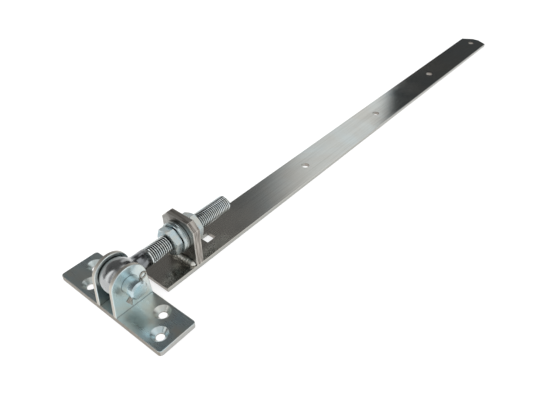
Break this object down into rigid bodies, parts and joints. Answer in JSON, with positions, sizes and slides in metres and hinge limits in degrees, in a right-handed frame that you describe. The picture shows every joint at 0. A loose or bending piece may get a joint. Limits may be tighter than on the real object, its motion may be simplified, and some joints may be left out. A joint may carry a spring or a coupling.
{
  "type": "t hinge",
  "caption": "Adjustable T-shaped gate hinge: post plate with ears and pin, threaded eyebolt with nuts, and a long flat strap with a welded lug.",
  "frame": {"origin": "centre of the post plate's back face", "axes": "+X along the strap to its tip, +Y along the hinge pin to its head, +Z from the back faces to the ears"},
  "size_m": [0.758, 0.13, 0.049],
  "materials": {
    "bracket_zinc": "bright zinc plate",
    "turned_zinc": "bright zinc plate",
    "wire_zinc": "bright zinc plate",
    "bolt_zinc": "bright zinc plate",
    "strap_zinc": "bright zinc plate",
    "lug_zinc": "bright zinc plate",
    "weld_zinc": "bright zinc plate"
  },
  "bodies": {
    "root": {"post_plate": "bracket_zinc", "near_ear": "bracket_zinc", "far_ear": "bracket_zinc", "hinge_pin": "turned_zinc", "split_pin": "wire_zinc"},
    "eyebolt_body": {"eyebolt": "bolt_zinc"},
    "strap_body": {"strap": "strap_zinc", "lug": "lug_zinc", "front_weld": "weld_zinc", "rear_weld": "weld_zinc", "front_washer_1": "turned_zinc", "front_washer_2": "turned_zinc", "rear_washer": "turned_zinc"},
    "front_nut_body": {"front_nut": "bolt_zinc"},
    "rear_nut_body": {"rear_nut": "bolt_zinc"}
  },
  "joints": [
    {"name": "gate_swing", "type": "hinge", "parent": "root", "child": "eyebolt_body", "pos_m": [0, 0, 0.03], "axis": [0, -1, 0], "range_deg": [0, 180]},
    {"name": "strap_adjust", "type": "slide", "parent": "eyebolt_body", "child": "strap_body", "axis": [1, 0, 0], "range_m": [-0.008, 0.036]},
    {"name": "front_nut_turn", "type": "hinge", "parent": "strap_body", "child": "front_nut_body", "pos_m": [0.054, 0, 0.03], "axis": [1, 0, 0], "range_deg": [-1441, 6481]},
    {"name": "rear_nut_turn", "type": "hinge", "parent": "strap_body", "child": "rear_nut_body", "pos_m": [0.079, 0, 0.03], "axis": [1, 0, 0], "range_deg": [-1441, 6481]}
  ],
  "couplings": [
    {"joint": "front_nut_turn", "follows": "strap_adjust", "rad_per_m": 3141.6},
    {"joint": "rear_nut_turn", "follows": "strap_adjust", "rad_per_m": 3141.6}
  ]
}
